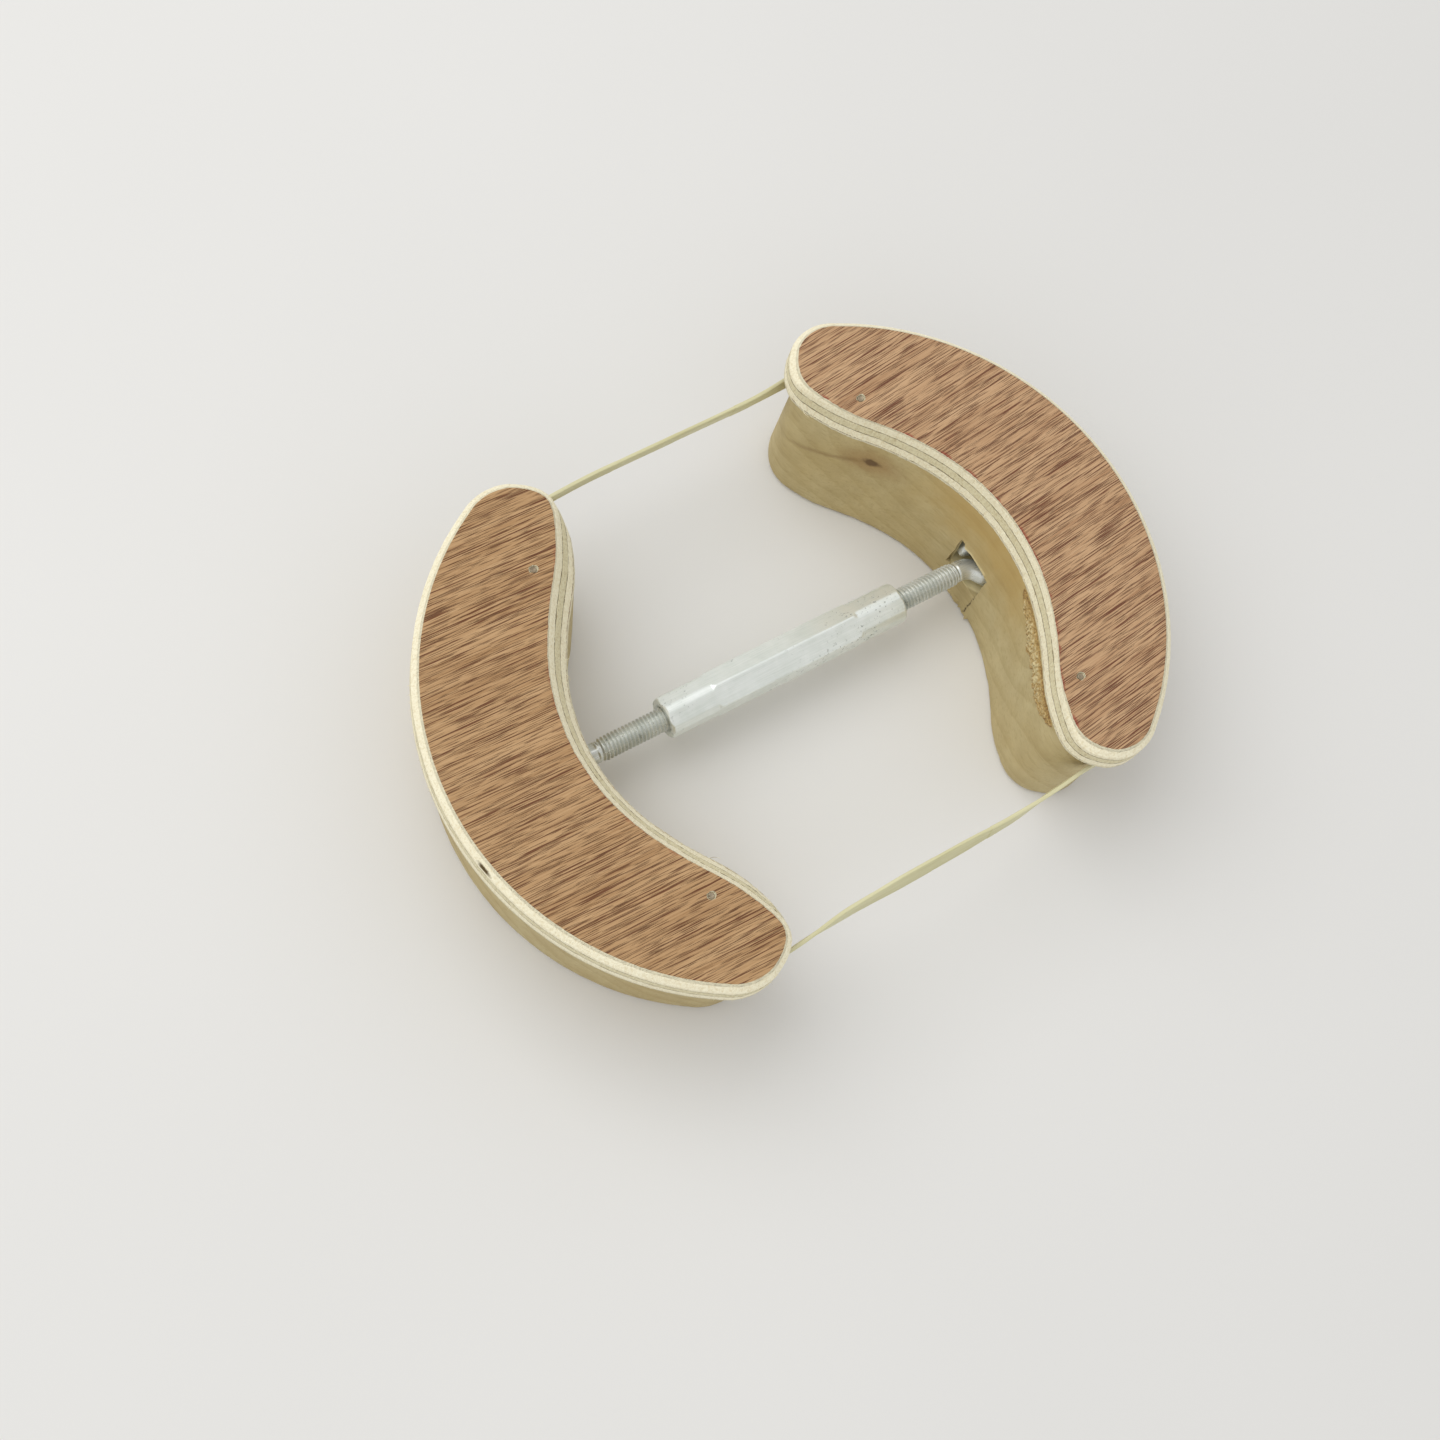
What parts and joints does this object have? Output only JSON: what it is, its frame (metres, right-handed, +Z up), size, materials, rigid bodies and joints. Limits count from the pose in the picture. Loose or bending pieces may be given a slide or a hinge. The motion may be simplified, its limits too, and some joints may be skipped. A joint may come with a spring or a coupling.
{
  "type": "hat stretcher",
  "caption": "Wooden hat stretcher: crescent jaws with plywood caps swing on the eyes of a turnbuckle that pushes them apart, and a rubber band draws them together.",
  "frame": {"origin": "bottom centre of the bounding box, on the surface that the two blocks stand on", "axes": "+X along the turnbuckle towards the right jaw, +Y across it towards the straight upper span of the band, +Z up"},
  "size_m": [0.1872, 0.1354, 0.044],
  "materials": {
    "pine": "sanded bare pine",
    "face_veneer": "bare red-brown hardwood veneer",
    "back_veneer": "bare hardwood veneer",
    "pale_ply": "sawn pale ply",
    "core_ply": "sawn pale ply, end grain",
    "steel": "bright steel",
    "zinc_steel": "zinc plated",
    "aluminium": "matt, scuffed",
    "rubber": "natural rubber"
  },
  "bodies": {
    "band": {"rubber_band": "rubber"},
    "sleeve": {"turnbuckle_sleeve": "aluminium"},
    "left_rod": {"left_eye_rod": "zinc_steel"},
    "right_rod": {"right_eye_rod": "zinc_steel"},
    "left_jaw": {"left_block": "pine", "left_back_veneer": "back_veneer", "left_lower_ply": "pale_ply", "left_middle_ply": "core_ply", "left_upper_ply": "pale_ply", "left_face_veneer": "face_veneer", "left_cap_brads": "steel", "left_pivot_pin": "steel"},
    "right_jaw": {"right_block": "pine", "right_back_veneer": "back_veneer", "right_lower_ply": "pale_ply", "right_middle_ply": "core_ply", "right_upper_ply": "pale_ply", "right_face_veneer": "face_veneer", "right_cap_brads": "steel", "right_pivot_pin": "steel"}
  },
  "joints": [
    {"name": "sleeve_turn", "type": "hinge", "parent": "band", "child": "sleeve", "pos_m": [0.0034, 0.00296, 0.013], "axis": [1, 0, 0], "range_deg": [-4320, 5760]},
    {"name": "left_rod_travel", "type": "slide", "parent": "band", "child": "left_rod", "axis": [-1, 0, 0], "range_m": [-0.016, 0.012], "deforming": ["rubber_band"]},
    {"name": "right_rod_travel", "type": "slide", "parent": "band", "child": "right_rod", "axis": [1, 0, 0], "range_m": [-0.016, 0.012], "deforming": ["rubber_band"]},
    {"name": "left_jaw_swing", "type": "hinge", "parent": "left_rod", "child": "left_jaw", "pos_m": [-0.0608, 0.00296, 0.013], "axis": [0, 0, 1], "range_deg": [-13.6, 16.4], "deforming": ["rubber_band"]},
    {"name": "right_jaw_swing", "type": "hinge", "parent": "right_rod", "child": "right_jaw", "pos_m": [0.0676, 0.00296, 0.013], "axis": [0, 0, 1], "range_deg": [-21.8, 8.2], "deforming": ["rubber_band"]}
  ],
  "couplings": [
    {"joint": "sleeve_turn", "follows": "left_rod_travel", "rad_per_m": -6283},
    {"joint": "right_rod_travel", "follows": "left_rod_travel", "ratio": 1}
  ]
}
